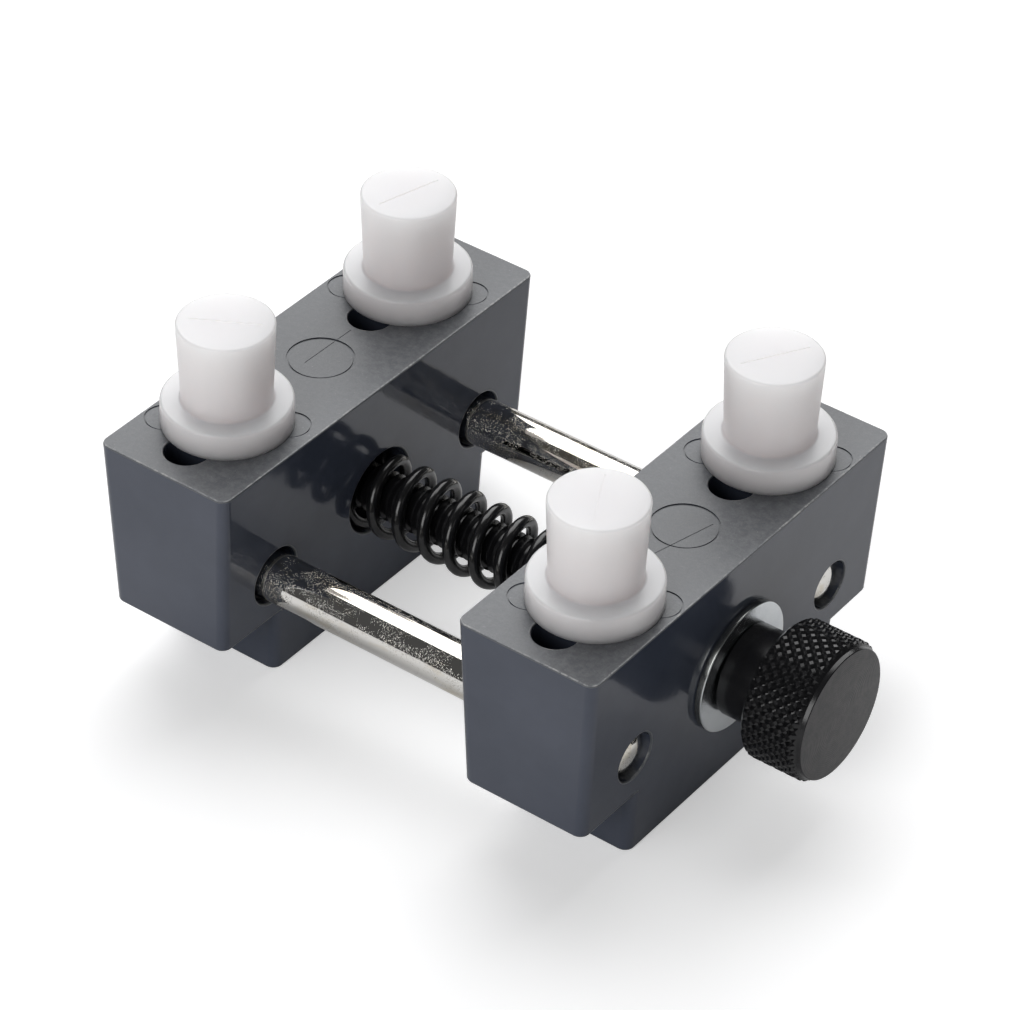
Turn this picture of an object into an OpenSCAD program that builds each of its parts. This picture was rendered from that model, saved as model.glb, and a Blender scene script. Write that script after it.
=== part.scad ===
// Watch movement holder: two moulded jaws on two guide rods, drawn together by a thumb screw
// against a spring, with four push-in pegs that grip a watch movement or case.
// Lengths are millimetres. +Z is up, +X runs along the rods towards the thumb screw, and the
// origin is on the bench, under the middle of the whole holder with its jaws open.

/* [Jaws] */
// Length of each jaw at its top face
jaw_length = 50; // [42:0.5:80]
// Width of each jaw at its top face, measured along the rods
jaw_width = 16; // [13:0.5:24]
// Height of each jaw, from the bench to its top face
jaw_height = 27.2; // [22:0.1:40]
// Gap between the two top faces with the jaws fully open
jaw_gap = 28; // [22:0.5:50]
// Height of the foot under each jaw
foot_height = 7.7; // [5:0.1:9.5]
// Distance from the near end of the jaw, at -Y, to the near end of its foot
foot_setback_near = 8; // [4:0.1:12]
// Distance from the far end of the jaw to the far end of its foot
foot_setback_far = 6; // [4:0.1:12]
// Radius of the upright corners
corner_radius = 1.1; // [0.5:0.1:2.5]
// Moulding draft of the inner and outer faces, in degrees
face_draft = 2.5; // [0:0.1:3]
// Moulding draft of the end faces, in degrees
end_draft = 1.5; // [0:0.1:3]

/* [Peg holes] */
// Diameter of a peg hole
peg_hole_d = 4.6; // [3:0.1:5.6]
// Thickness of plastic left below the peg holes, above the rods and the spring
hole_floor_wall = 0.8; // [0.5:0.1:2]
// Distance between the holes of a row
peg_hole_pitch = 6.2; // [5.6:0.1:6.4]
// Distance from the end of the jaw to its outermost hole
peg_hole_end = 4.4; // [4:0.1:5]
// Distance from the outer edge of the jaw's top face to the holes
peg_hole_setback = 7.6; // [5:0.1:8]

/* [Pegs] */
// Diameter of the peg's flange
flange_d = 13.3; // [8:0.1:14]
// Thickness of the peg's flange
flange_t = 3; // [1.5:0.1:5]
// Diameter of the peg's head where it leaves the flange
peg_base_d = 9.1; // [6:0.1:10]
// Diameter of the peg's head at its top
peg_top_d = 9.9; // [6:0.1:11]
// Height of the peg's head above its flange
peg_head_h = 9; // [5:0.1:15]
// Gap left below the peg's stem in its hole
stem_gap = 1; // [0.5:0.1:2]
// Clearance all round the stem in its hole
stem_clearance = 0.05; // [0.02:0.01:0.1]

/* [Guide rods] */
// Diameter of a guide rod
rod_d = 5.2; // [4:0.1:6.4]
// Distance from each end of the jaw to the middle of its rod
rod_end_distance = 8.4; // [7:0.1:10]
// Height of the middle of the rods above the underside of the jaws' raised ends
rod_rise = 5.2; // [4.5:0.1:6.4]
// Depth of the rod ends below the jaws' outer faces
rod_recess = 0.4; // [0.2:0.1:1]
// Clearance all round a rod where the rear jaw slides on it
rod_clearance = 0.05; // [0.02:0.01:0.1]
// Extra radius of the wider mouth where a rod enters the rear jaw
rod_mouth_step = 0.6; // [0.3:0.1:1]
// Depth of that wider mouth
rod_mouth_depth = 3; // [1:0.5:6]

/* [Thumb screw] */
// Outer diameter of the thread
thread_d = 5; // [4:0.1:6]
// Pitch of the thread, which draws the rear jaw in by this much for each turn of the screw
thread_pitch = 0.8; // [0.5:0.1:1]
// Turns of the screw from fully open
screw_turns = 0; // [0:0.5:20]
// Height of the screw above the bench
screw_height = 13.6; // [11:0.1:16.5]
// Clearance all round the thread in the nut
thread_clearance = 0.05; // [0.02:0.01:0.1]
// Clearance all round the thread in the jaws
screw_hole_clearance = 0.3; // [0.2:0.05:0.6]
// Step from the thread out to the collar between the washer and the knurled head
collar_step = 2.4; // [1.5:0.1:3]
// Length of that collar
collar_length = 4.3; // [2:0.1:8]
// Diameter of the knurled head
head_d = 14.8; // [12:0.1:20]
// Length of the knurled head
head_length = 6.9; // [5:0.1:12]
// Length of the bevel at the outer edge of the head
head_bevel_length = 1; // [0.5:0.1:2]
// Depth of that bevel
head_bevel_depth = 0.4; // [0.2:0.1:1]

/* [Washer and nut] */
// Outer diameter of the washer
washer_d = 14.1; // [11:0.1:16]
// Thickness of the washer
washer_t = 0.8; // [0.6:0.1:1.6]
// Clearance all round the thread in the washer
washer_clearance = 0.25; // [0.15:0.05:0.5]
// Thickness of the hexagonal nut's wall at the middle of its flats
nut_wall = 1.5; // [1.2:0.1:2]
// Thickness of the nut
nut_t = 4; // [3:0.1:4.5]
// Depth of the nut below the rear jaw's outer face
nut_recess = 0.3; // [0.1:0.1:0.8]

/* [Spring] */
// Diameter of the spring's wire
wire_d = 1.25; // [0.8:0.05:1.5]
// Clearance all round the thread inside the spring
coil_clearance = 0.6; // [0.3:0.1:0.9]
// Turns of the open part of the spring
open_turns = 11.9; // [6:0.1:12]
// Turns of the closed part at each end
end_turns = 1; // [0.5:0.1:1.5]
// Clearance all round the spring in its seats
seat_clearance = 0.45; // [0.3:0.05:0.6]
// Depth of the spring's seat in each jaw
seat_depth = 6.5; // [5:0.1:8]

/* [Hidden] */

// Gap left between faces that only touch
face_gap = 0.02;
// How far a cutter runs past the face that it opens
cut = 1;
// Smoothness of round surfaces, and of the rounded corners that hull() joins
round_fn = 96;
hull_fn = 32;

closing = screw_turns * thread_pitch;
collar_d = thread_d + 2 * collar_step;
spring_d = thread_d + 2 * (coil_clearance + wire_d);
spring_seat_d = spring_d + 2 * seat_clearance;
nut_width = thread_d + 2 * nut_wall;
rod_mouth_d = rod_d + 2 * rod_mouth_step;
rod_y = jaw_length / 2 - rod_end_distance;
rod_height = foot_height + rod_rise;

// The peg holes stop above the spring's seat and above the rods, whichever is higher
seat_top = screw_height + spring_seat_d / 2;
rod_top = rod_height + rod_mouth_d / 2;
peg_hole_depth = jaw_height - hole_floor_wall - max(seat_top, rod_top);
stem_length = peg_hole_depth - stem_gap;

face_slope = tan(face_draft);
end_slope = tan(end_draft);
foot_length = jaw_length - foot_setback_near - foot_setback_far;
foot_middle_y = (foot_setback_near - foot_setback_far) / 2;
middle_x = jaw_width / 2;

// Distance that a drafted face has stepped back from the top edge at height z
function face_inset(z) = face_slope * (jaw_height - z);

// Distances along X from the front jaw's outer face, at screw height, to the parts of the screw
collar_start = washer_t / cos(face_draft) + face_slope * collar_d / 2 + face_gap;
head_start = collar_start + collar_length;
head_end = head_start + head_length;

overall_length = 2 * jaw_width + jaw_gap - face_inset(screw_height) + head_end;
rear_outer_x = -overall_length / 2;
front_outer_x = rear_outer_x + 2 * jaw_width + jaw_gap;
screw_face_x = front_outer_x - face_inset(screw_height);

// The rods and the screw run back to just inside the rear jaw's outer face
rod_start_x = rear_outer_x + face_inset(rod_height) + rod_recess;
rod_end_x = front_outer_x - face_inset(rod_height) - rod_recess;
nut_start_x = rear_outer_x + face_inset(screw_height) + nut_recess;
screw_tip_x = nut_start_x;

// The spring stands between the floors of its two seats
seat_floor = jaw_width - face_inset(screw_height) - seat_depth;
spring_start_x = rear_outer_x + closing + seat_floor + face_gap;
spring_end_x = front_outer_x - seat_floor - face_gap;

// Bevels, where one value is both the length and the depth unless both are named
rod_bevel_length = 0.5;
rod_bevel_depth = 0.8;
stem_bevel = 0.4;
tip_bevel = 0.5;
edge_bevel = 0.4;
nut_bevel = 0.5;
washer_bevel = 0.2;

// ---- Shared shapes ----

// A bar of diameter d along X
module bar_x(from, to, d) {
    translate([from, 0, 0]) rotate([0, 90, 0]) cylinder(h = to - from, d = d, $fn = round_fn);
}

// A profile of [radius, x] points, turned about the X axis
module turned_x(points) {
    rotate([0, 90, 0]) rotate_extrude($fn = round_fn) polygon(points);
}

// A block with drafted sides and rounded upright corners. Its length is that at the top face.
module drafted_block(length, low_z, high_z) {
    half_x = jaw_width / 2 - corner_radius - face_slope * jaw_height;
    half_y = length / 2 - corner_radius - end_slope * jaw_height;
    hull() for (side = [-1, 1], end = [-1, 1])
        multmatrix([[1, 0, side * face_slope, middle_x + side * half_x],
                    [0, 1, end * end_slope, end * half_y],
                    [0, 0, 1, 0],
                    [0, 0, 0, 1]])
        translate([0, 0, low_z]) cylinder(h = high_z - low_z, r = corner_radius, $fn = hull_fn);
}

// ---- Jaws, drawn with the outer top edge at x = 0 and the inner face towards +X ----

// Distances from the middle of the jaw to the peg holes of one row
peg_hole_places = [for (i = [0:2]) jaw_length / 2 - peg_hole_end - i * peg_hole_pitch];

// The pegs stand in the middle hole of each row
peg_place = peg_hole_places[1];

module peg_holes() {
    for (end = [-1, 1], place = peg_hole_places)
        translate([peg_hole_setback, end * place, jaw_height - peg_hole_depth])
        cylinder(h = peg_hole_depth + cut, d = peg_hole_d, $fn = round_fn);
}

module rod_bores(d) {
    for (side = [-1, 1]) translate([0, side * rod_y, rod_height])
        bar_x(-cut, jaw_width + cut, d);
}

// The wider mouths on the inner face, where the rods enter the rear jaw
module rod_mouths() {
    mouth_start = jaw_width - face_inset(rod_height) - rod_mouth_depth;
    for (side = [-1, 1]) translate([0, side * rod_y, rod_height])
        bar_x(mouth_start, jaw_width + cut, rod_mouth_d);
}

module screw_hole_and_seat() {
    translate([0, 0, screw_height]) {
        bar_x(-cut, jaw_width + cut, thread_d + 2 * screw_hole_clearance);
        bar_x(seat_floor, jaw_width + cut, spring_seat_d);
    }
}

module nut_pocket() {
    floor_x = face_inset(screw_height) + nut_recess + nut_t;
    translate([-cut, 0, screw_height]) rotate([0, 90, 0])
        cylinder(h = floor_x + cut, d = (nut_width + 2 * face_gap) / cos(30), $fn = 6);
}

module jaw_blank() {
    drafted_block(jaw_length, foot_height, jaw_height);
    translate([0, foot_middle_y, 0]) drafted_block(foot_length, 0, jaw_height / 2);
}

module rear_jaw() {
    color([0.27, 0.28, 0.30]) translate([rear_outer_x + closing, 0, 0]) difference() {
        jaw_blank();
        peg_holes();
        rod_bores(rod_d + 2 * rod_clearance);
        rod_mouths();
        screw_hole_and_seat();
        nut_pocket();
    }
}

module front_jaw() {
    color([0.27, 0.28, 0.30]) translate([front_outer_x, 0, 0]) mirror([1, 0, 0]) difference() {
        jaw_blank();
        peg_holes();
        rod_bores(rod_d);
        screw_hole_and_seat();
    }
}

// ---- Rods, screw, washer and nut ----

// A rod pressed into the front jaw, with both of its ends bevelled
module guide_rod(side) {
    radius = rod_d / 2;
    face_radius = radius - rod_bevel_depth;
    color("silver") translate([0, side * rod_y, rod_height])
        turned_x([[0, rod_start_x],
                  [face_radius, rod_start_x],
                  [radius, rod_start_x + rod_bevel_length],
                  [radius, rod_end_x - rod_bevel_length],
                  [face_radius, rod_end_x],
                  [0, rod_end_x]]);
}

// Threaded shank, collar and head, turned from one bar
module thumb_screw() {
    shank = thread_d / 2;
    head = head_d / 2;
    color([0.06, 0.06, 0.06]) translate([0, 0, screw_height])
        turned_x([[0, screw_tip_x],
                  [shank - tip_bevel, screw_tip_x],
                  [shank, screw_tip_x + tip_bevel],
                  [shank, screw_face_x + collar_start],
                  [collar_d / 2, screw_face_x + collar_start],
                  [collar_d / 2, screw_face_x + head_start],
                  [head - edge_bevel, screw_face_x + head_start],
                  [head, screw_face_x + head_start + edge_bevel],
                  [head, screw_face_x + head_end - head_bevel_length],
                  [head - head_bevel_depth, screw_face_x + head_end],
                  [0, screw_face_x + head_end]]);
}

// The washer lies flat on the drafted outer face, under the collar
module screw_washer() {
    hole = thread_d / 2 + washer_clearance;
    radius = washer_d / 2;
    color([0.72, 0.74, 0.76]) translate([screw_face_x, 0, screw_height]) rotate([0, face_draft, 0])
        turned_x([[hole, 0],
                  [radius, 0],
                  [radius, washer_t - washer_bevel],
                  [radius - washer_bevel, washer_t],
                  [hole, washer_t]]);
}

// A hexagonal nut with bevelled corners, held in the rear jaw's pocket
module hex_nut() {
    corner = nut_width / 2 / cos(30);
    flat = nut_width / 2;
    color([0.72, 0.74, 0.76]) translate([nut_start_x + closing, 0, screw_height]) difference() {
        intersection() {
            rotate([0, 90, 0]) cylinder(h = nut_t, r = corner, $fn = 6);
            turned_x([[0, 0],
                      [flat, 0],
                      [corner + face_gap, nut_bevel],
                      [corner + face_gap, nut_t - nut_bevel],
                      [flat, nut_t],
                      [0, nut_t]]);
        }
        bar_x(-cut, nut_t + cut, thread_d + 2 * thread_clearance);
    }
}

// ---- Spring: round wire swept along a helix whose end turns lie closer together ----

wire_sides = 8;
rings_per_turn = 18;
coil_radius = (spring_d - wire_d) / 2;
spring_turns = open_turns + 2 * end_turns;
// How far round from the top the wire starts, in turns
wire_start = 0.21;
coil_start_x = spring_start_x + wire_d / 2;
coil_end_x = spring_end_x - wire_d / 2;
end_pitch = wire_d * 1.05;
open_pitch = (coil_end_x - coil_start_x - 2 * end_turns * end_pitch) / open_turns;

// X of the wire's centre after a number of turns
function coil_x(turns) = coil_start_x
    + end_pitch * min(turns, end_turns)
    + open_pitch * max(0, min(turns - end_turns, open_turns))
    + end_pitch * max(0, turns - end_turns - open_turns);

// Direction from the coil's axis to the wire after a number of turns, for a right-hand coil
function wire_side(turns) = [0, -sin(360 * (turns + wire_start)), cos(360 * (turns + wire_start))];

// Centre of the wire after a number of turns
function coil_point(turns) = [coil_x(turns), 0, 0] + coil_radius * wire_side(turns);

// Ring of points round the wire, square to the way the wire runs
function wire_ring(turns) =
    let (step = 0.001,
         run = coil_point(turns + step) - coil_point(turns - step),
         along = run / norm(run),
         out = wire_side(turns),
         across = cross(along, out),
         centre = coil_point(turns))
    [for (i = [0:wire_sides - 1])
        centre + wire_d / 2 * (cos(360 * i / wire_sides) * out + sin(360 * i / wire_sides) * across)];

module jaw_spring() {
    ring_count = ceil(spring_turns * rings_per_turn) + 1;
    last = (ring_count - 1) * wire_sides;
    points = [for (ring = [0:ring_count - 1])
        each wire_ring(spring_turns * ring / (ring_count - 1))];
    start_cap = [for (i = [0:wire_sides - 1]) i];
    end_cap = [for (i = [0:wire_sides - 1]) last + wire_sides - 1 - i];
    sides = [for (ring = [0:ring_count - 2], i = [0:wire_sides - 1])
        let (a = ring * wire_sides, j = (i + 1) % wire_sides)
        each [[a + i, a + wire_sides + i, a + wire_sides + j], [a + i, a + wire_sides + j, a + j]]];
    color([0.03, 0.03, 0.03]) translate([0, 0, screw_height])
        polyhedron(points, concat([start_cap, end_cap], sides), convexity = 10);
}

// ---- Pegs ----

// One push-in peg: a stem in the jaw, a flange on its top face and a head that widens upwards
module peg(x, y) {
    stem = peg_hole_d / 2 - stem_clearance;
    flange = flange_d / 2;
    top_z = flange_t + peg_head_h;
    color([0.93, 0.93, 0.94]) translate([x, y, jaw_height + face_gap])
        rotate_extrude($fn = round_fn) polygon([
            [0, -stem_length],
            [stem - stem_bevel, -stem_length],
            [stem, stem_bevel - stem_length],
            [stem, 0],
            [flange - edge_bevel, 0],
            [flange, edge_bevel],
            [flange, flange_t - edge_bevel],
            [flange - edge_bevel, flange_t],
            [peg_base_d / 2, flange_t],
            [peg_top_d / 2, top_z - edge_bevel],
            [peg_top_d / 2 - edge_bevel, top_z],
            [0, top_z]]);
}

rear_peg_x = rear_outer_x + closing + peg_hole_setback;
front_peg_x = front_outer_x - peg_hole_setback;

rear_jaw();
front_jaw();
guide_rod(-1);  // near_guide_rod
guide_rod(1);  // far_guide_rod
thumb_screw();
screw_washer();
hex_nut();
jaw_spring();
peg(rear_peg_x, -peg_place);  // rear_near_peg
peg(rear_peg_x, peg_place);  // rear_far_peg
peg(front_peg_x, -peg_place);  // front_near_peg
peg(front_peg_x, peg_place);  // front_far_peg
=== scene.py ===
import math

import bmesh
import bpy
from mathutils import Matrix, Vector


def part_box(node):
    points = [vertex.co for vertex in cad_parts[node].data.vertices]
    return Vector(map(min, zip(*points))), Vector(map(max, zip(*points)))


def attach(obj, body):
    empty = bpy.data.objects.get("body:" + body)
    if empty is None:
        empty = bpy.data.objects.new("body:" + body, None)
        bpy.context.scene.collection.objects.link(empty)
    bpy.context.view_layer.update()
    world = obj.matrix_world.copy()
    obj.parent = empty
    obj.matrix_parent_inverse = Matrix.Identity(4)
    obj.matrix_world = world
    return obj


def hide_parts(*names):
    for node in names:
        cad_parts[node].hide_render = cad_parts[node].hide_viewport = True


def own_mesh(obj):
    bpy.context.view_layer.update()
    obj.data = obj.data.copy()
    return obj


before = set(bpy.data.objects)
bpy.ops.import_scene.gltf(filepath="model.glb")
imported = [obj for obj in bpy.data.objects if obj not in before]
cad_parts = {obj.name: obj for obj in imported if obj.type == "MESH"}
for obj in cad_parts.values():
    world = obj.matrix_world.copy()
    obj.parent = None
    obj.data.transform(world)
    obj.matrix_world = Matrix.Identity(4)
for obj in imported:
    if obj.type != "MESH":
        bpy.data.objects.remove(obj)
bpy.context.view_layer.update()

# Watch movement holder: the finished pieces, in metres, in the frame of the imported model.
# +X runs along the rods towards the thumb screw, +Z is up, and the bench is at z = 0.

MM = 0.001


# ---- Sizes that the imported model's boxes give ----

def box_of(node):
    """The low and high corners of a node's box, its middle and its size."""
    low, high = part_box(node)
    return low, high, (low + high) / 2, high - low


rear_low, _, _, rear_size = box_of("rear_jaw")
front_low, front_high, _, _ = box_of("front_jaw")
rod_low, _, rod_middle, rod_size = box_of("near_guide_rod")
screw_low, screw_high, screw_middle, screw_size = box_of("thumb_screw")
washer_size = box_of("screw_washer")[3]
nut_low = box_of("hex_nut")[0]
spring_low, spring_high, _, spring_size = box_of("jaw_spring")
_, peg_high, peg_middle, peg_size = box_of("front_near_peg")

JAW_LENGTH = rear_size.y
JAW_WIDTH = rear_size.x
JAW_HEIGHT = rear_size.z
ROD_RADIUS = rod_size.z / 2
ROD_Y = abs(rod_middle.y)
ROD_Z = rod_middle.z
SCREW_Z = screw_middle.z
HEAD_RADIUS = screw_size.z / 2
WASHER_RADIUS = washer_size.y / 2
SPRING_RADIUS = spring_size.y / 2
PEG_FLANGE_RADIUS = peg_size.x / 2
PEG_SETBACK = front_high.x - peg_middle.x
PEG_Y = abs(peg_middle.y)

# ---- Sizes inside those boxes, as in the model ----

FACE_DRAFT = math.radians(2.5)
END_DRAFT = math.radians(1.5)
CORNER_RADIUS = 1.1 * MM
FOOT_HEIGHT = 7.7 * MM
FOOT_SETBACK_NEAR = 8 * MM
FOOT_SETBACK_FAR = 6 * MM
EDGE_ROUND = 0.2 * MM
SHARP_ANGLE = math.radians(35)
MERGE_DISTANCE = 0.02 * MM

PEG_HOLE_RADIUS = 2.3 * MM
PEG_HOLE_DEPTH = 8 * MM
PEG_HOLE_PITCH = 6.2 * MM
ROD_CLEARANCE = 0.05 * MM
ROD_DOME = 0.9 * MM
ROD_MOUTH_RADIUS = ROD_RADIUS + 0.6 * MM
ROD_MOUTH_DEPTH = 3 * MM
THREAD_RADIUS = 2.5 * MM
THREAD_PITCH = 0.8 * MM
SCREW_HOLE_RADIUS = 2.8 * MM
SEAT_RADIUS = SPRING_RADIUS + 0.45 * MM
SEAT_DEPTH = 6.5 * MM
NUT_LENGTH = 4 * MM
NUT_WIDTH = 8 * MM
NUT_RECESS = 0.3 * MM
NUT_POCKET_CLEARANCE = 0.02 * MM
THREAD_CLEARANCE = 0.05 * MM
WASHER_CLEARANCE = 0.25 * MM
COLLAR_RADIUS = 4.9 * MM
COLLAR_LENGTH = 4.3 * MM
HEAD_LENGTH = 6.9 * MM
WASHER_THICKNESS = 0.8 * MM
WIRE_RADIUS = 0.625 * MM
PEG_FLANGE_HEIGHT = 3 * MM
PEG_STEM_LENGTH = 7 * MM
PEG_BASE_RADIUS = 4.55 * MM
PEG_TOP_RADIUS = 4.95 * MM

HEAD_START = screw_high.x - HEAD_LENGTH
COLLAR_START = HEAD_START - COLLAR_LENGTH


def face_inset(z):
    """How far the inner and outer faces have stepped back from the top edge at height z."""
    return math.tan(FACE_DRAFT) * (JAW_HEIGHT - z)


def end_inset(z):
    return math.tan(END_DRAFT) * (JAW_HEIGHT - z)


# ---- Camera ----

CAMERA_PLACE = Vector((0.19853, -0.27908, 0.28817))
CAMERA_AIM = Vector((-0.00902, 0.00603, SCREW_Z))
CAMERA_ROLL = math.radians(1.595)
CAMERA_LENS = 157.2


def add_camera():
    data = bpy.data.cameras.new("camera")
    data.lens = CAMERA_LENS
    data.sensor_width = 36
    data.clip_start = 0.01
    camera = bpy.data.objects.new("camera", data)
    bpy.context.scene.collection.objects.link(camera)
    aim = (CAMERA_AIM - CAMERA_PLACE).to_track_quat("-Z", "Y").to_matrix().to_4x4()
    camera.matrix_world = Matrix.Translation(CAMERA_PLACE) @ aim @ Matrix.Rotation(CAMERA_ROLL, 4, "Z")
    bpy.context.scene.camera = camera


# ---- Mesh helpers ----

def to_object(name, bm):
    mesh = bpy.data.meshes.new(name)
    bmesh.ops.recalc_face_normals(bm, faces=bm.faces)
    bm.to_mesh(mesh)
    bm.free()
    made = bpy.data.objects.new(name, mesh)
    bpy.context.scene.collection.objects.link(made)
    return made


def smooth(piece, degrees=32):
    """Shades round surfaces smoothly and keeps edges sharper than the angle crisp."""
    mesh = piece.data
    mesh.polygons.foreach_set("use_smooth", [True] * len(mesh.polygons))
    mesh.set_sharp_from_angle(angle=math.radians(degrees))
    return piece


def bake_modifiers(piece):
    """Turns the piece's modifiers into its mesh."""
    depsgraph = bpy.context.evaluated_depsgraph_get()
    mesh = bpy.data.meshes.new_from_object(piece.evaluated_get(depsgraph))
    piece.modifiers.clear()
    old = piece.data
    piece.data = mesh
    mesh.name = piece.name
    bpy.data.meshes.remove(old)
    return piece


def carve(piece, tools, operation="DIFFERENCE"):
    """Cuts the tools out of the piece, or joins or crosses them with it, and removes them."""
    for tool in tools:
        modifier = piece.modifiers.new("carve", "BOOLEAN")
        modifier.operation = operation
        modifier.solver = "EXACT"
        modifier.object = tool
    bpy.context.view_layer.update()
    bake_modifiers(piece)
    for tool in tools:
        mesh = tool.data
        bpy.data.objects.remove(tool)
        bpy.data.meshes.remove(mesh)
    return piece


def rounded(points, radii, steps=6):
    """The open outline through points, with the corner at each point rounded by its radius."""
    out = [Vector(points[0])]
    for before, corner, after, radius in zip(points, points[1:], points[2:], radii):
        before, corner, after = Vector(before), Vector(corner), Vector(after)
        to_before = (before - corner).normalized()
        to_after = (after - corner).normalized()
        half_angle = to_before.angle(to_after) / 2
        if radius <= 0 or half_angle > math.radians(89.5):
            out.append(corner)
            continue
        reach = radius / math.tan(half_angle)
        centre = corner + (to_before + to_after).normalized() * radius / math.sin(half_angle)
        start = corner + to_before * reach - centre
        end = corner + to_after * reach - centre
        turn = start.angle_signed(end)
        for i in range(steps + 1):
            out.append(centre + Matrix.Rotation(-turn * i / steps, 2) @ start)
    out.append(Vector(points[-1]))
    return out


def lathe(name, outline, steps=128):
    """Solid of revolution about Z. The outline is (radius, z) points that start and end at radius 0,
    or, for a ring, a closed loop of points away from the axis."""
    bm = bmesh.new()
    is_ring = min(point[0] for point in outline) > 1e-9
    rings = []
    for radius, z in outline:
        if radius < 1e-9:
            rings.append([bm.verts.new((0, 0, z))])
            continue
        turn = [2 * math.pi * i / steps for i in range(steps)]
        rings.append([bm.verts.new((radius * math.cos(a), radius * math.sin(a), z)) for a in turn])
    pairs = list(zip(rings, rings[1:]))
    if is_ring:
        pairs.append((rings[-1], rings[0]))
    for low, high in pairs:
        for i in range(steps):
            j = (i + 1) % steps
            corners = [low[i % len(low)], low[j % len(low)], high[j % len(high)], high[i % len(high)]]
            face = list(dict.fromkeys(corners))
            if len(face) > 2:
                bm.faces.new(face)
    return to_object(name, bm)


def along_x(piece, x, y, z):
    """Lays a piece drawn about Z along X, with its own origin at that point."""
    piece.data.transform(Matrix.Translation((x, y, z)) @ Matrix.Rotation(math.pi / 2, 4, "Y"))
    return piece


def moved(piece, x, y, z):
    piece.data.transform(Matrix.Translation((x, y, z)))
    return piece


def rod_shape(name, radius, start, end, steps=96):
    return lathe(name, [(0, start), (radius, start), (radius, end), (0, end)], steps)


# ---- Jaws, drawn with the outer top edge at x = 0 and the inner face towards +X ----

CORNER_STEPS = 8


def jaw_loop(bm, setback_near, setback_far, z):
    """The four rounded corners of a drafted block at height z, each as a list of points."""
    half_x = JAW_WIDTH / 2 - face_inset(z) - CORNER_RADIUS
    half_length = JAW_LENGTH / 2 - end_inset(z) - CORNER_RADIUS
    far_y = half_length - setback_far
    near_y = setback_near - half_length
    corners = []
    for quarter, (side, end) in enumerate([(1, 1), (-1, 1), (-1, -1), (1, -1)]):
        corner = []
        for i in range(CORNER_STEPS + 1):
            a = math.pi / 2 * (quarter + i / CORNER_STEPS)
            x = JAW_WIDTH / 2 + side * half_x + CORNER_RADIUS * math.cos(a)
            y = (far_y if end > 0 else near_y) + CORNER_RADIUS * math.sin(a)
            corner.append(bm.verts.new((x, y, z)))
        corners.append(corner)
    return corners


def jaw_blank(name):
    """The jaw without its holes: a drafted block that stands on a shorter foot."""
    bm = bmesh.new()
    bottom = jaw_loop(bm, FOOT_SETBACK_NEAR, FOOT_SETBACK_FAR, 0)
    ankle = jaw_loop(bm, FOOT_SETBACK_NEAR, FOOT_SETBACK_FAR, FOOT_HEIGHT)
    ledge = jaw_loop(bm, 0, 0, FOOT_HEIGHT)
    top = jaw_loop(bm, 0, 0, JAW_HEIGHT)
    bm.faces.new([v for corner in bottom for v in corner])
    bm.faces.new([v for corner in top for v in corner])
    for low, high in ((bottom, ankle), (ledge, top)):
        for low_corner, high_corner in zip(low, high):
            for i in range(CORNER_STEPS):
                bm.faces.new([low_corner[i], low_corner[i + 1], high_corner[i + 1], high_corner[i]])
        for a, b in ((0, 1), (2, 3)):
            bm.faces.new([low[a][-1], low[b][0], high[b][0], high[a][-1]])
    for a, b in ((0, 1), (2, 3)):
        bm.faces.new([*ledge[a], *ledge[b], *reversed(ankle[b]), *reversed(ankle[a])])
    # The inner and outer faces run from the top down over the foot without a step
    for a, b in ((3, 0), (1, 2)):
        bm.faces.new([bottom[a][-1], bottom[b][0], ankle[b][0], ledge[b][0], top[b][0],
                      top[a][-1], ledge[a][-1], ankle[a][-1]])
    return to_object(name, bm)


def peg_hole_tools():
    outermost = PEG_Y + PEG_HOLE_PITCH
    tools = []
    for end in (-1, 1):
        for i in range(3):
            hole = rod_shape("tool", PEG_HOLE_RADIUS, -PEG_HOLE_DEPTH, MM)
            tools.append(moved(hole, PEG_SETBACK, end * (outermost - i * PEG_HOLE_PITCH), JAW_HEIGHT))
    return tools


def rod_hole_tools(has_mouth):
    tools = []
    inner_face = JAW_WIDTH - face_inset(ROD_Z)
    for side in (-1, 1):
        outline = [(0, -MM), (ROD_RADIUS + ROD_CLEARANCE, -MM)]
        if has_mouth:
            outline += [(ROD_RADIUS + ROD_CLEARANCE, inner_face - ROD_MOUTH_DEPTH),
                        (ROD_MOUTH_RADIUS, inner_face - ROD_MOUTH_DEPTH),
                        (ROD_MOUTH_RADIUS, inner_face + MM)]
        else:
            outline.append((ROD_RADIUS + ROD_CLEARANCE, JAW_WIDTH + MM))
        outline.append((0, outline[-1][1]))
        tools.append(along_x(lathe("tool", outline, 96), 0, side * ROD_Y, ROD_Z))
    return tools


def screw_hole_tool():
    seat = JAW_WIDTH - face_inset(SCREW_Z) - SEAT_DEPTH
    outline = [(0, -MM), (SCREW_HOLE_RADIUS, -MM), (SCREW_HOLE_RADIUS, seat), (SEAT_RADIUS, seat),
               (SEAT_RADIUS, JAW_WIDTH + MM), (0, JAW_WIDTH + MM)]
    return along_x(lathe("tool", outline, 96), 0, 0, SCREW_Z)


def nut_pocket_tool():
    floor = face_inset(SCREW_Z) + NUT_RECESS + NUT_LENGTH
    radius = (NUT_WIDTH / 2 + NUT_POCKET_CLEARANCE) / math.cos(math.radians(30))
    pocket = lathe("tool", [(0, -MM), (radius, -MM), (radius, floor), (0, floor)], 6)
    return along_x(pocket, 0, 0, SCREW_Z)


MARK_RADIUS = 3.5 * MM
MARK_WIDTH = 0.24 * MM
SMALL_MARK_RADIUS = 2.1 * MM
SMALL_MARK_WIDTH = 0.16 * MM
MARK_DEPTH = 0.12 * MM
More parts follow.
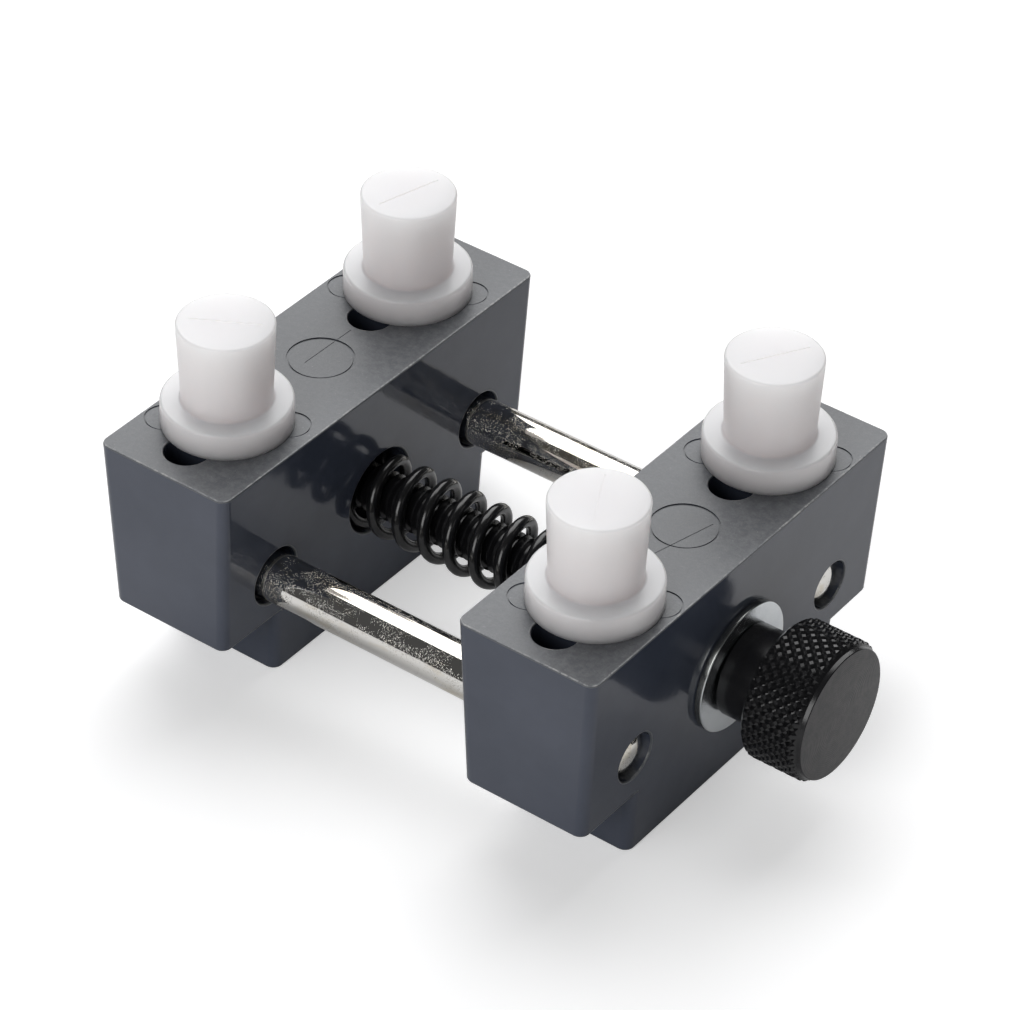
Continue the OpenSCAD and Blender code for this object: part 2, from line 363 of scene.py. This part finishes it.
# Each peg hole has two small ejector marks beside it, one this far off and one opposite
SMALL_MARK_STEP = Vector((5.2, 3.4)) * MM
# How far each jaw's middle mark lies from the middle of its top face
MARK_SHIFT_REAR = Vector((0.1, -0.45)) * MM
MARK_SHIFT_FRONT = Vector((0.5, 0.1)) * MM
# Fine lines scribed across the middle marks, in millimetres from the middle of the top face
SCRIBED_REAR = [(-0.6, -2.1), (-0.5, 5.2)]
SCRIBED_FRONT = [(0.7, -5.2), (2.5, 2.0)]
SCRIBED_WIDTH = 0.09 * MM
SCRIBED_DEPTH = 0.05 * MM


def mark_tool(radius, x, y, width):
    """A shallow ring left in the top face by an ejector pin, wider on one side than on the other."""
    bm = bmesh.new()
    steps = 64
    shift = Vector((0.35, -0.35)) * width
    loops = []
    still = Vector((0, 0))
    turn = [2 * math.pi * i / steps for i in range(steps)]
    for r, z, offset in ((radius - width, -MARK_DEPTH, shift), (radius, -MARK_DEPTH, still),
                         (radius, MM, still), (radius - width, MM, shift)):
        loops.append([bm.verts.new((x + offset.x + r * math.cos(a), y + offset.y + r * math.sin(a),
                                    JAW_HEIGHT + z)) for a in turn])
    for k in range(4):
        for i in range(steps):
            j = (i + 1) % steps
            a, b = loops[k], loops[(k + 1) % 4]
            bm.faces.new([a[i], a[j], b[j], b[i]])
    return to_object("tool", bm)


def groove_tool(start, end, top, width, depth):
    """A fine straight groove in a top face, between two (x, y) points."""
    start, end = Vector(start), Vector(end)
    across = (end - start).orthogonal().normalized() * width / 2
    bm = bmesh.new()
    ring = [start - across, end - across, end + across, start + across]
    loops = [[bm.verts.new((p.x, p.y, top + z)) for p in ring] for z in (-depth, depth)]
    bm.faces.new(loops[0])
    bm.faces.new(loops[1])
    for i in range(4):
        j = (i + 1) % 4
        bm.faces.new([loops[0][i], loops[0][j], loops[1][j], loops[1][i]])
    return to_object("tool", bm)


def soften_edges(jaw):
    """Rounds the jaw's outward edges, and gives the rounds the worn edge's material."""
    bm = bmesh.new()
    bm.from_mesh(jaw.data)
    bmesh.ops.remove_doubles(bm, verts=bm.verts, dist=MERGE_DISTANCE)
    bmesh.ops.dissolve_degenerate(bm, edges=bm.edges, dist=MERGE_DISTANCE)
    bm.normal_update()
    outward = [e for e in bm.edges if e.is_convex and e.calc_face_angle(0) > SHARP_ANGLE]
    bmesh.ops.bevel(bm, geom=outward, offset=EDGE_ROUND, offset_type="OFFSET", segments=2, profile=0.5,
                    affect="EDGES", clamp_overlap=False, material=1)
    bm.to_mesh(jaw.data)
    bm.free()


def add_jaw(name, is_front, plastic, edge):
    jaw = jaw_blank(name)
    jaw.data.materials.append(plastic)
    jaw.data.materials.append(edge)
    tools = peg_hole_tools() + rod_hole_tools(not is_front) + [screw_hole_tool()]
    if not is_front:
        tools.append(nut_pocket_tool())
    carve(jaw, tools)
    if is_front:
        jaw.data.transform(Matrix.Translation((front_high.x, 0, 0)) @ Matrix.Scale(-1, 4, (1, 0, 0)))
        jaw.data.flip_normals()
    else:
        moved(jaw, rear_low.x, 0, 0)
    soften_edges(jaw)
    middle = (front_low if is_front else rear_low).x + JAW_WIDTH / 2
    peg_x = front_high.x - PEG_SETBACK if is_front else rear_low.x + PEG_SETBACK
    shift = MARK_SHIFT_FRONT if is_front else MARK_SHIFT_REAR
    marks = [mark_tool(MARK_RADIUS, middle + shift.x, shift.y, MARK_WIDTH)]
    for side in (-1, 1):
        for way in (-1, 1):
            place = Vector((peg_x, side * PEG_Y)) + way * SMALL_MARK_STEP
            marks.append(mark_tool(SMALL_MARK_RADIUS, place.x, place.y, SMALL_MARK_WIDTH))
    scribed = SCRIBED_FRONT if is_front else SCRIBED_REAR
    start, end = [Vector((middle, 0)) + Vector(point) * MM for point in scribed]
    marks.append(groove_tool(start, end, JAW_HEIGHT, SCRIBED_WIDTH, SCRIBED_DEPTH))
    carve(jaw, marks)
    smooth(jaw, 40)
    weigh = jaw.modifiers.new("weigh", "WEIGHTED_NORMAL")
    weigh.mode = "FACE_AREA"
    weigh.weight = 100
    weigh.keep_sharp = True
    return jaw


# ---- Rods, washer and nut ----

def add_rod(name, side):
    length = rod_size.x
    steps = 14
    dome = []
    for i in range(steps + 1):
        share = math.sin(math.pi / 2 * i / steps)
        dome.append((ROD_RADIUS * share, ROD_DOME * share ** 2.4))
    outline = dome + [(r, length - z) for r, z in reversed(dome)]
    rod = along_x(lathe(name, outline), rod_low.x, side * ROD_Y, ROD_Z)
    return smooth(rod, 40)


def add_washer():
    hole = THREAD_RADIUS + WASHER_CLEARANCE
    outline = [(hole, 0), (WASHER_RADIUS, 0), (WASHER_RADIUS, WASHER_THICKNESS), (hole, WASHER_THICKNESS)]
    loop = rounded([*outline, outline[0], outline[1]], [0.16 * MM] * 4)[1:-1]
    washer = lathe("washer_plate", loop)
    face = front_high.x - face_inset(SCREW_Z)
    washer.data.transform(Matrix.Translation((face, 0, SCREW_Z)) @ Matrix.Rotation(FACE_DRAFT, 4, "Y")
                          @ Matrix.Rotation(math.pi / 2, 4, "Y"))
    return smooth(washer)


def add_nut():
    corner = NUT_WIDTH / 2 / math.cos(math.radians(30))
    flat = NUT_WIDTH / 2
    nut = lathe("nut_body", [(0, 0), (corner, 0), (corner, NUT_LENGTH), (0, NUT_LENGTH)], 6)
    bevel = 0.5 * MM
    outside = corner + 0.02 * MM
    dome = lathe("tool", [(0, 0), (flat, 0), (outside, bevel), (outside, NUT_LENGTH - bevel),
                          (flat, NUT_LENGTH), (0, NUT_LENGTH)], 96)
    carve(nut, [dome], "INTERSECT")
    bore = THREAD_RADIUS + THREAD_CLEARANCE
    mouth = 0.3 * MM
    mouth_radius = bore + mouth + MM
    hole = lathe("tool", [(0, -MM), (mouth_radius, -MM), (bore, mouth), (bore, NUT_LENGTH - mouth),
                          (mouth_radius, NUT_LENGTH + MM), (0, NUT_LENGTH + MM)], 64)
    carve(nut, [hole])
    along_x(nut, nut_low.x, 0, SCREW_Z)
    return smooth(nut, 25)


# ---- Thumb screw ----

KNURL_STARTS = 37
KNURL_LENGTH = 1.28 * MM
KNURL_DEPTH = 0.34 * MM
KNURL_FLAT = 0.4


def wrap(name, bm, start, end):
    """Cuts a sheet drawn as (along, angle, radius) to its length, rolls it about Z and closes its ends."""
    for place, side in ((start, -1), (end, 1)):
        everything = [*bm.verts, *bm.edges, *bm.faces]
        bmesh.ops.bisect_plane(bm, geom=everything, plane_co=(place, 0, 0), plane_no=(side, 0, 0),
                               clear_outer=True, dist=1e-9)
    for place, side in ((0, -1), (2 * math.pi, 1)):
        everything = [*bm.verts, *bm.edges, *bm.faces]
        bmesh.ops.bisect_plane(bm, geom=everything, plane_co=(0, place, 0), plane_no=(0, side, 0),
                               clear_outer=True, dist=1e-9)
    for v in bm.verts:
        along, angle, radius = v.co
        v.co = (radius * math.cos(angle), radius * math.sin(angle), along)
    bmesh.ops.remove_doubles(bm, verts=bm.verts, dist=1e-6)
    open_edges = [e for e in bm.edges if e.is_boundary]
    bmesh.ops.holes_fill(bm, edges=open_edges, sides=0)
    return to_object(name, bm)


def knurled_bar(name, radius, start, end):
    """A bar with a diamond knurl: two crossed sets of grooves, so that each diamond is a low
    pyramid with a flat top."""
    bm = bmesh.new()
    stops = [0, 0.5 - KNURL_FLAT / 2, 0.5 + KNURL_FLAT / 2]
    cells = int((end - start) / KNURL_LENGTH) + 3
    lines = []
    first = -KNURL_STARTS - 2
    last = KNURL_STARTS + cells + 2
    for cell in range(first, last):
        lines += [cell + stop for stop in stops]
    spare_angle = 0.3
    spare_length = 1.5 * KNURL_LENGTH

    def height(fraction):
        part = fraction % 1
        return min(1, min(part, 1 - part) / stops[1])

    grid = {}
    for i, a in enumerate(lines):
        for j, b in enumerate(lines):
            along = start + (a + b) / 2 * KNURL_LENGTH
            angle = (a - b) / 2 * 2 * math.pi / KNURL_STARTS
            if not -spare_angle < angle < 2 * math.pi + spare_angle:
                continue
            if not start - spare_length < along < end + spare_length:
                continue
            depth = KNURL_DEPTH * (1 - min(height(a), height(b)))
            grid[i, j] = bm.verts.new((along, angle, radius - depth))
    for (i, j), corner in grid.items():
        others = [grid.get((i + 1, j)), grid.get((i + 1, j + 1)), grid.get((i, j + 1))]
        if None not in others:
            bm.faces.new([corner, *others])
    return wrap(name, bm, start, end)


def threaded_bar(name, radius, start, end):
    """A bar with a right-hand thread: a crest, a flank, a root and a flank for each pitch."""
    bm = bmesh.new()
    steps = 48
    profile = [(0, 0), (0.14, 0), (0.46, 1), (0.68, 1)]
    depth = 0.58 * THREAD_PITCH
    turns = int((end - start) / THREAD_PITCH) + 2
    columns = []
    for i in range(-1, steps + 2):
        angle = 2 * math.pi * i / steps
        column = []
        for turn in range(-2, turns + 1):
            for fraction, cut in profile:
                along = start + THREAD_PITCH * (turn + fraction + i / steps)
                column.append(bm.verts.new((along, angle, radius - cut * depth)))
        columns.append(column)
    for left, right in zip(columns, columns[1:]):
        for k in range(len(left) - 1):
            bm.faces.new([left[k], left[k + 1], right[k + 1], right[k]])
    return wrap(name, bm, start, end)


def add_thumb_screw():
    shank_end = COLLAR_START - screw_low.x
    head_start = HEAD_START - screw_low.x
    head_end = screw_high.x - screw_low.x
    shank = threaded_bar("thumb_screw_body", THREAD_RADIUS, -MM, shank_end + MM)
    outside = THREAD_RADIUS + 0.05 * MM
    shank_blank = lathe("tool", [(0, 0), (THREAD_RADIUS - 0.5 * MM, 0), (outside, 0.55 * MM),
                                 (outside, shank_end + 0.5 * MM), (0, shank_end + 0.5 * MM)])
    carve(shank, [shank_blank], "INTERSECT")
    head = knurled_bar("tool", HEAD_RADIUS, head_start - 0.5 * MM, head_end + 0.5 * MM)
    outside = HEAD_RADIUS + 0.1 * MM
    outline = [(0, head_start), (HEAD_RADIUS - 0.5 * MM, head_start), (outside, head_start + 0.6 * MM),
               (outside, head_end - 1.05 * MM), (HEAD_RADIUS - 0.42 * MM, head_end - 0.5 * MM),
               (HEAD_RADIUS - 0.5 * MM, head_end), (0, head_end)]
    head_blank = lathe("tool", rounded(outline, [0.2 * MM, 0, 0, 0.1 * MM, 0.12 * MM]), 160)
    carve(head, [head_blank], "INTERSECT")
    collar_outline = [(0, shank_end), (COLLAR_RADIUS, shank_end), (COLLAR_RADIUS, head_start + 0.1 * MM),
                      (0, head_start + 0.1 * MM)]
    collar = lathe("tool", rounded(collar_outline, [0.2 * MM, 0]))
    carve(shank, [collar, head], "UNION")
    along_x(shank, screw_low.x, 0, SCREW_Z)
    return smooth(shank, 28)


# ---- Spring ----

SPRING_END_TURNS = 1
SPRING_OPEN_TURNS = 11.9
# Pitch of the end turns in wire diameters
SPRING_END_PITCH = 1.05
# Turns past the top at which the wire starts
SPRING_PHASE = 0.21


def add_spring():
    """Round wire wound into a helix whose end turns lie closer together."""
    sides, rings_per_turn = 16, 48
    coil_radius = SPRING_RADIUS - WIRE_RADIUS
    start = spring_low.x + WIRE_RADIUS
    end = spring_high.x - WIRE_RADIUS
    end_pitch = 2 * WIRE_RADIUS * SPRING_END_PITCH
    open_pitch = (end - start - 2 * SPRING_END_TURNS * end_pitch) / SPRING_OPEN_TURNS
    total = SPRING_OPEN_TURNS + 2 * SPRING_END_TURNS

    def centre(turns):
        opened = max(0, min(turns - SPRING_END_TURNS, SPRING_OPEN_TURNS))
        closed = min(turns, SPRING_END_TURNS) + max(0, turns - SPRING_END_TURNS - SPRING_OPEN_TURNS)
        x = start + end_pitch * closed + open_pitch * opened
        a = 2 * math.pi * (turns + SPRING_PHASE)
        return Vector((x, -coil_radius * math.sin(a), SCREW_Z + coil_radius * math.cos(a)))

    bm = bmesh.new()
    rings = []
    nudge = 0.004
    count = int(total * rings_per_turn) + 1
    for k in range(count):
        turns = total * k / (count - 1)
        middle = centre(turns)
        run = (centre(min(turns + nudge, total)) - centre(max(turns - nudge, 0))).normalized()
        out = (middle - Vector((middle.x, 0, SCREW_Z))).normalized()
        across = run.cross(out).normalized()
        out = across.cross(run)
        ring = []
        for i in range(sides):
            a = 2 * math.pi * i / sides
            ring.append(bm.verts.new(middle + WIRE_RADIUS * (math.cos(a) * out + math.sin(a) * across)))
        rings.append(ring)
    for low, high in zip(rings, rings[1:]):
        for i in range(sides):
            j = (i + 1) % sides
            bm.faces.new([low[i], low[j], high[j], high[i]])
    bm.faces.new(rings[0])
    bm.faces.new(rings[-1])
    return smooth(to_object("spring_wire", bm), 50)


# ---- Pegs ----

# The mark that the mould's gate leaves across a peg's top
GATE_WIDTH = 0.16 * MM
GATE_DEPTH = 0.09 * MM
GATE_SHARE = 0.75
STEM_CLEARANCE = 0.05 * MM


def add_peg(name, node, gate_angle):
    low, high, middle, _ = box_of(node)
    seat = low.z + PEG_STEM_LENGTH
    stem = PEG_HOLE_RADIUS - STEM_CLEARANCE
    top = high.z - seat
    outline = [(0, -PEG_STEM_LENGTH), (stem, -PEG_STEM_LENGTH), (stem, 0), (PEG_FLANGE_RADIUS, 0),
               (PEG_FLANGE_RADIUS, PEG_FLANGE_HEIGHT), (PEG_BASE_RADIUS, PEG_FLANGE_HEIGHT),
               (PEG_TOP_RADIUS, top), (0, top)]
    radii = [0.4 * MM, 0.1 * MM, 0.22 * MM, 0.3 * MM, 0.3 * MM, 0.28 * MM]
    peg = moved(lathe(name, rounded(outline, radii), 96), middle.x, middle.y, seat)
    reach = Matrix.Rotation(gate_angle, 2) @ Vector((PEG_TOP_RADIUS, 0)) * GATE_SHARE
    spot = Vector((middle.x, middle.y))
    carve(peg, [groove_tool(spot - reach, spot + reach, high.z, GATE_WIDTH, GATE_DEPTH)])
    return smooth(peg, 45)


# ---- Materials ----

class Paint:
    """One procedural material: short calls that make and join its nodes."""

    def __init__(self, name):
        self.material = bpy.data.materials.new(name)
        self.material.use_nodes = True
        self.tree = self.material.node_tree
        self.tree.nodes.clear()
        self.shader = self.tree.nodes.new("ShaderNodeBsdfPrincipled")
        output = self.tree.nodes.new("ShaderNodeOutputMaterial")
        self.tree.links.new(self.shader.outputs["BSDF"], output.inputs["Surface"])
        place = self.tree.nodes.new("ShaderNodeTexCoord")
        scale = self.tree.nodes.new("ShaderNodeVectorMath")
        scale.operation = "SCALE"
        scale.inputs["Scale"].default_value = 1000
        self.tree.links.new(place.outputs["Object"], scale.inputs[0])
        # The place on the object, in millimetres
        self.place = scale.outputs["Vector"]

    def put(self, socket, value):
        if isinstance(value, bpy.types.NodeSocket):
            self.tree.links.new(value, socket)
        else:
            socket.default_value = value

    def set(self, **values):
        for name, value in values.items():
            self.put(self.shader.inputs[name.replace("_", " ")], value)

    def noise(self, scale, detail=3, roughness=0.55, stretch=(1, 1, 1)):
        mapping = self.tree.nodes.new("ShaderNodeVectorMath")
        mapping.operation = "MULTIPLY"
        mapping.inputs[1].default_value = stretch
        self.put(mapping.inputs[0], self.place)
        node = self.tree.nodes.new("ShaderNodeTexNoise")
        self.put(node.inputs["Vector"], mapping.outputs["Vector"])
        node.inputs["Scale"].default_value = scale
        node.inputs["Detail"].default_value = detail
        node.inputs["Roughness"].default_value = roughness
        return node.outputs["Fac"]

    def fit(self, value, low, high, to_low=0.0, to_high=1.0):
        node = self.tree.nodes.new("ShaderNodeMapRange")
        self.put(node.inputs["Value"], value)
        for name, number in (("From Min", low), ("From Max", high), ("To Min", to_low), ("To Max", to_high)):
            self.put(node.inputs[name], number)
        return node.outputs["Result"]

    def math(self, operation, a, b=0.0):
        node = self.tree.nodes.new("ShaderNodeMath")
        node.operation = operation
        self.put(node.inputs[0], a)
        self.put(node.inputs[1], b)
        return node.outputs["Value"]

    def mix(self, amount, a, b):
        node = self.tree.nodes.new("ShaderNodeMix")
        node.data_type = "RGBA"
        self.put(node.inputs["Factor"], amount)
        self.put(node.inputs["A"], a if isinstance(a, bpy.types.NodeSocket) else (*a, 1))
        self.put(node.inputs["B"], b if isinstance(b, bpy.types.NodeSocket) else (*b, 1))
        return node.outputs["Result"]

    def split(self):
        node = self.tree.nodes.new("ShaderNodeSeparateXYZ")
        self.put(node.inputs[0], self.place)
        return node.outputs["X"], node.outputs["Y"], node.outputs["Z"]

    def facing(self):
        """The X, Y and Z of the surface's own direction."""
        geometry = self.tree.nodes.new("ShaderNodeNewGeometry")
        node = self.tree.nodes.new("ShaderNodeSeparateXYZ")
        self.put(node.inputs[0], geometry.outputs["Normal"])
        return node.outputs["X"], node.outputs["Y"], node.outputs["Z"]

    def bump(self, height, distance, strength=1.0, over=None):
        node = self.tree.nodes.new("ShaderNodeBump")
        node.inputs["Distance"].default_value = distance
        node.inputs["Strength"].default_value = strength
        self.put(node.inputs["Height"], height)
        if over is not None:
            self.put(node.inputs["Normal"], over)
        self.put(self.shader.inputs["Normal"], node.outputs["Normal"])
        return node.outputs["Normal"]


def jaw_plastic():
    """Glossy moulded plastic on the sides; the top faces are scuffed dull. The tops are lighter than the
    sides partly from the scuffing and partly because the sides' tone is darkened as painted shade.
    """
    paint = Paint("jaw_plastic")
    is_top = paint.fit(paint.facing()[2], 0.9, 0.98)
    cloud = paint.fit(paint.noise(0.12, 4), 0.35, 0.65)
    grain = paint.noise(6, 4)
    # Painted shade: the sides' tone is set darker to stand for the shade on the sides.
    side = paint.mix(cloud, (0.050, 0.059, 0.083), (0.060, 0.069, 0.096))
    scuffs = paint.fit(paint.noise(1.6, 6, 0.75), 0.42, 0.68)
    top = paint.mix(scuffs, (0.088, 0.095, 0.106), (0.150, 0.157, 0.165))
    specks = paint.fit(paint.noise(3.1, 2), 0.69, 0.75)
    top = paint.mix(paint.math("MULTIPLY", specks, 0.6), top, (0.24, 0.24, 0.25))
    scratches = paint.fit(paint.noise(1.4, 3, 0.6, (0.25, 4, 1)), 0.67, 0.71)
    scratches = paint.math("MULTIPLY", scratches, paint.fit(paint.noise(0.2, 2), 0.45, 0.6))
    top = paint.mix(paint.math("MULTIPLY", scratches, 0.5), top, (0.2, 0.2, 0.21))
    side_rough = paint.fit(cloud, 0, 1, 0.07, 0.13)
    top_rough = paint.fit(scuffs, 0, 1, 0.34, 0.48)
    rough = paint.math("ADD", paint.math("MULTIPLY", top_rough, is_top),
                       paint.math("MULTIPLY", side_rough, paint.math("SUBTRACT", 1.0, is_top)))
    # The lighter tone on the tops and the darker one on the sides are partly scuffing and partly painted
    # shade.
    paint.set(Base_Color=paint.mix(is_top, side, top), Roughness=rough)
    paint.shader.inputs["Specular IOR Level"].default_value = 0.5
    fine = paint.bump(paint.math("MULTIPLY", grain, is_top), 0.00003, 0.6)
    paint.bump(paint.noise(0.22, 2), 0.00012, 0.3, fine)
    return paint.material


def jaw_edge():
    """Rounded edges, rubbed pale in places where they meet the top face."""
    paint = Paint("jaw_edge")
    patch = paint.fit(paint.noise(0.16, 2), 0.44, 0.62)
    nicks = paint.fit(paint.noise(1.3, 5, 0.75), 0.42, 0.62)
    is_up = paint.fit(paint.facing()[2], 0.2, 0.5)
    wear = paint.math("MULTIPLY", paint.math("MULTIPLY", nicks, is_up), paint.fit(patch, 0, 1, 0.4, 1))
    paint.set(Base_Color=paint.mix(wear, (0.095, 0.102, 0.115), (0.42, 0.42, 0.41)),
              Roughness=paint.fit(wear, 0, 1, 0.3, 0.5))
    paint.bump(paint.noise(5, 3), 0.00003, 0.6)
    return paint.material


def rod_steel():
    """Bright plating, pitted in patches, with a yellow cast."""
    paint = Paint("rod_steel")
    pits = paint.fit(paint.noise(7, 3, 0.6), 0.58, 0.66)
    patch = paint.fit(paint.noise(0.45, 3), 0.4, 0.6)
    dark = paint.math("MULTIPLY", pits, patch)
    stain = paint.fit(paint.noise(0.5, 3, 0.6, (0.4, 1, 1)), 0.5, 0.7)
    clean = paint.mix(stain, (0.80, 0.785, 0.75), (0.70, 0.65, 0.55))
    paint.set(Base_Color=paint.mix(dark, clean, (0.50, 0.46, 0.40)),
              Metallic=1.0, Roughness=paint.fit(dark, 0, 1, 0.06, 0.2))
    paint.bump(dark, 0.00003, 0.6)
    return paint.material


def screw_black():
    """Black oxide, with fine turning rings about the screw's axis."""
    paint = Paint("screw_black")
    x, y, z = paint.split()
    z = paint.math("SUBTRACT", z, SCREW_Z / MM)
    squares = paint.math("ADD", paint.math("MULTIPLY", y, y), paint.math("MULTIPLY", z, z))
    turning = paint.math("SINE", paint.math("MULTIPLY", paint.math("SQRT", squares), 26))
    on_face = paint.math("GREATER_THAN", paint.facing()[0], 0.95)
    turning = paint.math("MULTIPLY", turning, on_face)
    worn = paint.fit(paint.noise(0.7, 5, 0.65), 0.4, 0.68)
    worn = paint.math("MULTIPLY", worn, on_face)
    paint.set(Base_Color=paint.mix(worn, (0.008, 0.008, 0.009), (0.034, 0.029, 0.031)),
              Roughness=paint.fit(paint.math("ADD", paint.noise(3, 4), on_face), 0.3, 1.7, 0.2, 0.38))
    paint.shader.inputs["Specular IOR Level"].default_value = 0.4
    fine = paint.bump(turning, 0.000006, 0.5)
    paint.bump(paint.noise(9, 3), 0.000008, 0.5, fine)
    return paint.material


def spring_black():
    paint = Paint("spring_black")
    paint.set(Base_Color=paint.mix(paint.noise(1.2, 3), (0.004, 0.004, 0.005), (0.010, 0.010, 0.010)),
              Roughness=paint.fit(paint.noise(2, 3), 0.3, 0.7, 0.16, 0.26))
    paint.bump(paint.noise(1.5, 2), 0.00003, 0.3)
    return paint.material


def zinc_plate():
    """Bluish plating, darker and duller round the rims: partly a duller cut edge, partly painted shade
    standing for the contact shadow round the washer.
    """
    paint = Paint("zinc_plate")
    cloud = paint.noise(0.6, 5)
    plate = paint.mix(cloud, (0.58, 0.61, 0.63), (0.72, 0.745, 0.755))
    is_face = paint.fit(paint.math("ABSOLUTE", paint.facing()[0]), 0.3, 0.7)
    # Painted shade: the rims take a darker tone for the contact shadow round the washer, as well as a duller
    # cut edge.
    paint.set(Base_Color=paint.mix(is_face, (0.36, 0.37, 0.36), plate), Metallic=1.0,
              Roughness=paint.fit(paint.noise(2.5, 4), 0.3, 0.7, 0.19, 0.265))
    paint.bump(paint.noise(8, 3), 0.00001, 0.5)
    return paint.material


def peg_nylon():
    """Milky and translucent. Pinker and darker low down, and darker on the top face: the pink is the nylon's
    tint, the darkening low down is painted shade under the head, and the darker top is painted shade against
    the light on it.
    """
    paint = Paint("peg_nylon")
    height = paint.fit(paint.split()[2], JAW_HEIGHT / MM, peg_high.z / MM)
    cloud = paint.noise(0.1, 1)
    # Painted shade: the low tone is darker than the high tone, besides being pinker.
    low = paint.mix(cloud, (0.74, 0.69, 0.695), (0.77, 0.72, 0.72))
    high = paint.mix(cloud, (0.805, 0.785, 0.785), (0.835, 0.815, 0.815))
    is_top = paint.fit(paint.facing()[2], 0.5, 1)
    side = paint.mix(height, low, high)
    # Painted shade: the top face gets a darker tone than the upper sides.
    paint.set(Base_Color=paint.mix(is_top, side, (0.735, 0.725, 0.74)),
              Roughness=paint.fit(paint.noise(0.3, 2), 0.3, 0.7, 0.285, 0.33))
    paint.shader.inputs["Subsurface Weight"].default_value = 1.0
    paint.shader.inputs["Subsurface Radius"].default_value = (1.0, 0.95, 0.93)
    paint.shader.inputs["Subsurface Scale"].default_value = 0.009
    paint.bump(paint.noise(3, 2), 0.00001, 0.15)
    return paint.material


# ---- Stage ----

def floor_paint():
    paint = Paint("floor_white")
    tone = paint.mix(paint.noise(0.01, 2), (0.82, 0.82, 0.825), (0.84, 0.84, 0.845))
    paint.set(Base_Color=tone, Roughness=0.9)
    paint.shader.inputs["Specular IOR Level"].default_value = 0.0
    # The bench shows a little lighter than the light it gives, as in a whitened backdrop
    rays = paint.tree.nodes.new("ShaderNodeLightPath")
    paint.shader.inputs["Emission Color"].default_value = (1, 1, 1, 1)
    paint.set(Emission_Strength=paint.math("MULTIPLY", rays.outputs["Is Camera Ray"], 0.4))
    return paint.material


def add_stage():
    bm = bmesh.new()
    half = 3
    corners = [(-half, -half), (half, -half), (half, half), (-half, half)]
    bm.faces.new([bm.verts.new((x, y, 0)) for x, y in corners])
    floor = to_object("floor", bm)
    floor.data.materials.append(floor_paint())


def add_light(name, place, size, power):
    """A square area light that points at the origin."""
    data = bpy.data.lights.new(name, "AREA")
    data.size = size
    data.energy = power
    light = bpy.data.objects.new(name, data)
    bpy.context.scene.collection.objects.link(light)
    light.location = place
    light.rotation_euler = (-Vector(place)).to_track_quat("-Z", "Y").to_euler()


def add_lights():
    add_light("softbox", (-0.45, 0.6, 0.95), 1.25, 16.5)
    add_light("fill", (0.05, -0.9, 0.5), 0.6, 5)
    world = bpy.data.worlds.new("studio")
    bpy.context.scene.world = world
    world.use_nodes = True
    tree = world.node_tree
    tree.nodes.clear()
    rays = tree.nodes.new("ShaderNodeLightPath")
    room = tree.nodes.new("ShaderNodeBackground")
    room.inputs["Color"].default_value = (0.07, 0.07, 0.07, 1)
    white = tree.nodes.new("ShaderNodeBackground")
    white.inputs["Color"].default_value = (1, 1, 1, 1)
    both = tree.nodes.new("ShaderNodeMixShader")
    output = tree.nodes.new("ShaderNodeOutputWorld")
    tree.links.new(rays.outputs["Is Camera Ray"], both.inputs["Fac"])
    tree.links.new(room.outputs[0], both.inputs[1])
    tree.links.new(white.outputs[0], both.inputs[2])
    tree.links.new(both.outputs[0], output.inputs["Surface"])


# ---- The whole holder ----

def finish_piece(piece, body, node, slot, *materials):
    for material in materials:
        piece.data.materials.append(material)
    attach(piece, body)
    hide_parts(node)


add_camera()
add_lights()
add_stage()

plastic, edge = jaw_plastic(), jaw_edge()
rear_jaw = add_jaw("rear_jaw_shell", False, plastic, edge)
finish_piece(rear_jaw, "rear_jaw", "rear_jaw", "jaw_plastic")
front_jaw = add_jaw("front_jaw_shell", True, plastic, edge)
finish_piece(front_jaw, "front_jaw", "front_jaw", "jaw_plastic")

steel = rod_steel()
for node, side in (("near_guide_rod", -1), ("far_guide_rod", 1)):
    finish_piece(add_rod(node + "_bar", side), "front_jaw", node, "rod_steel", steel)

zinc = zinc_plate()
finish_piece(add_washer(), "front_jaw", "screw_washer", "zinc_plate", zinc)
finish_piece(add_nut(), "rear_jaw", "hex_nut", "zinc_plate", zinc)
finish_piece(add_thumb_screw(), "thumb_screw", "thumb_screw", "screw_black", screw_black())

spring = add_spring()
finish_piece(spring, "front_jaw", "jaw_spring", "spring_black", spring_black())
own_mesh(spring)

nylon = peg_nylon()
gate_angles = {"rear_near_peg": 30, "rear_far_peg": 75, "front_near_peg": 118, "front_far_peg": 60}
for node, angle in gate_angles.items():
    finish_piece(add_peg(node + "_body", node, math.radians(angle)), node, node, "peg_nylon", nylon)

bpy.context.scene.view_settings.view_transform = "Standard"
